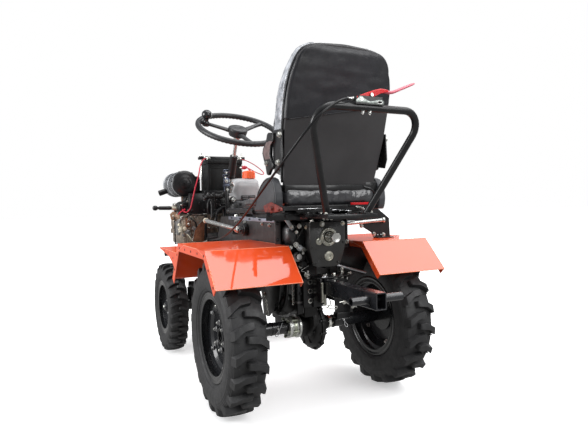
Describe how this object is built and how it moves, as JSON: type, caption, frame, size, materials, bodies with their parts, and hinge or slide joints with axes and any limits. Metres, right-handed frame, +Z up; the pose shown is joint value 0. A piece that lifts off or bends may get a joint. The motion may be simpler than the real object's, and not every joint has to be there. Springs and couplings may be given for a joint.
{
  "type": "compact ride-on tractor",
  "caption": "Small open ride-on tractor with front engine, orange fenders, high-backed seat, steered front wheels and a rear power take-off and drawbar.",
  "frame": {"origin": "middle of the length and width, on the ground under the tyres", "axes": "+X forward, +Y to the driver's left, +Z up"},
  "size_m": [1.74, 0.936, 1.3134],
  "materials": {
    "orange_paint": "gloss",
    "black_paint": "satin",
    "red_paint": "gloss",
    "tyre": "matt",
    "steel": "satin",
    "chrome": "polished",
    "cast_iron": "painted cast",
    "cast_alloy": "rough cast",
    "seat_vinyl": "wrapped vinyl",
    "seat_board": "satin",
    "grey_plastic": "satin",
    "dark_plastic": "satin",
    "cable_rubber": "satin",
    "red_rubber": "satin"
  },
  "bodies": {
    "chassis": {"final_drive_case": "cast_iron", "transmission_box": "black_paint", "pto_shaft": "steel", "input_pulley": "cast_iron", "drawbar_bracket": "black_paint", "drawbar": "black_paint", "drawbar_cross_tube": "black_paint", "hitch_pin": "steel", "frame_rail_left": "black_paint", "frame_rail_right": "black_paint", "crossmembers": "black_paint", "engine_deck": "black_paint", "front_bumper": "black_paint", "front_axle_bracket": "black_paint", "front_axle_beam": "black_paint", "steering_column": "black_paint", "steering_gearbox": "cast_iron", "fender_left": "orange_paint", "fender_right": "orange_paint", "foot_steps": "orange_paint", "fender_brackets": "black_paint", "seat_gusset": "black_paint", "control_shafts": "steel", "foot_pegs": "black_paint", "seat_base_plate": "black_paint", "seat_frame": "red_paint", "seat_cushion": "seat_vinyl", "backrest_panel": "seat_board", "backrest_cushion": "seat_vinyl", "hip_bolsters": "seat_board", "backrest_brackets": "black_paint", "grab_bar": "black_paint", "hand_lever": "red_paint", "engine_block": "cast_alloy", "fan_cover": "black_paint", "muffler": "chrome", "starter_motor": "black_paint", "throttle_lever": "black_paint", "battery": "dark_plastic", "battery_frame": "black_paint", "fuel_tank": "grey_plastic", "clutch_cable": "cable_rubber", "battery_lead": "red_rubber"},
    "wheel_rear_left": {"rear_hub_left": "black_paint", "rear_rim_left": "black_paint", "rear_tyre_left": "tyre"},
    "wheel_rear_right": {"rear_hub_right": "black_paint", "rear_rim_right": "black_paint", "rear_tyre_right": "tyre"},
    "wheel_front_left": {"front_rim_left": "black_paint", "front_tyre_left": "tyre"},
    "wheel_front_right": {"front_rim_right": "black_paint", "front_tyre_right": "tyre"},
    "steer_knuckle_left": {"knuckle_left": "black_paint"},
    "steer_knuckle_right": {"knuckle_right": "black_paint"},
    "tie_rod_link": {"tie_rod": "black_paint"},
    "drag_link_link": {"drag_link": "black_paint"},
    "pitman": {"pitman_arm": "black_paint"},
    "steering": {"steering_wheel": "dark_plastic", "steering_shaft": "steel"}
  },
  "joints": [
    {"name": "rear_left_spin", "type": "hinge", "parent": "chassis", "child": "wheel_rear_left", "pos_m": [-0.38, 0.35, 0.2825], "axis": [0, 1, 0], "continuous": true},
    {"name": "rear_right_spin", "type": "hinge", "parent": "chassis", "child": "wheel_rear_right", "pos_m": [-0.38, -0.35, 0.2825], "axis": [0, 1, 0], "continuous": true},
    {"name": "steer_left", "type": "hinge", "parent": "chassis", "child": "steer_knuckle_left", "pos_m": [0.54, 0.235, 0.3], "axis": [0, 0, 1], "range_deg": [-30, 30]},
    {"name": "steer_right", "type": "hinge", "parent": "chassis", "child": "steer_knuckle_right", "pos_m": [0.54, -0.235, 0.3], "axis": [0, 0, 1], "range_deg": [-30, 30]},
    {"name": "front_left_spin", "type": "hinge", "parent": "steer_knuckle_left", "child": "wheel_front_left", "pos_m": [0.54, 0.35, 0.229], "axis": [0, 1, 0], "continuous": true},
    {"name": "front_right_spin", "type": "hinge", "parent": "steer_knuckle_right", "child": "wheel_front_right", "pos_m": [0.54, -0.35, 0.229], "axis": [0, 1, 0], "continuous": true},
    {"name": "tie_rod_pivot", "type": "hinge", "parent": "steer_knuckle_left", "child": "tie_rod_link", "pos_m": [0.42, 0.235, 0.35], "axis": [0, 0, 1], "range_deg": [-30, 30]},
    {"name": "drag_link_pivot", "type": "hinge", "parent": "steer_knuckle_left", "child": "drag_link_link", "pos_m": [0.42, 0.235, 0.37], "axis": [0, 0, 1], "range_deg": [-30, 30]},
    {"name": "pitman_pivot", "type": "hinge", "parent": "chassis", "child": "pitman", "pos_m": [0.42, 0.045, 0.5], "axis": [0, 0, 1], "range_deg": [-30, 30]},
    {"name": "steering_wheel_turn", "type": "hinge", "parent": "chassis", "child": "steering", "pos_m": [0.272, 0.045, 1.146], "axis": [-0.4726, 0, 0.8813], "range_deg": [-180, 180]}
  ],
  "couplings": [
    {"joint": "steer_right", "follows": "steer_left", "ratio": 1},
    {"joint": "tie_rod_pivot", "follows": "steer_left", "ratio": -1},
    {"joint": "drag_link_pivot", "follows": "steer_left", "ratio": -1},
    {"joint": "pitman_pivot", "follows": "steer_left", "ratio": 1},
    {"joint": "steering_wheel_turn", "follows": "steer_left", "ratio": 6}
  ]
}
